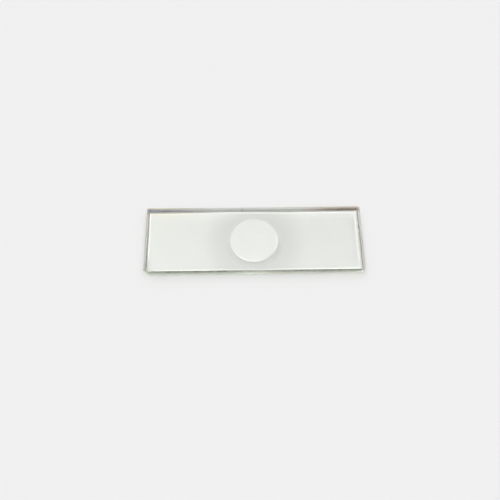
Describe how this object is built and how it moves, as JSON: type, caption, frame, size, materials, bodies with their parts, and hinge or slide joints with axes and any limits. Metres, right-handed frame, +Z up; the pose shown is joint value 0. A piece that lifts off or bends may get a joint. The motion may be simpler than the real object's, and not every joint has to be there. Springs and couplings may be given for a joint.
{
  "type": "cavity microscope slide",
  "caption": "Thick clear glass microscope slide with bevelled ground edges and a shallow round well in its top face for a liquid specimen.",
  "frame": {"origin": "centre of the underside, on the surface that the slide lies on", "axes": "+X along the slide's length, with the clipped corner at -X -Y; +Y to the far long side; +Z up, out of the face with the well"},
  "size_m": [0.075, 0.025, 0.003],
  "materials": {
    "clear_glass": "polished faces and well, finely ground bevelled edges"
  },
  "bodies": {
    "root": {"glass_slide": "clear_glass"}
  },
  "joints": []
}
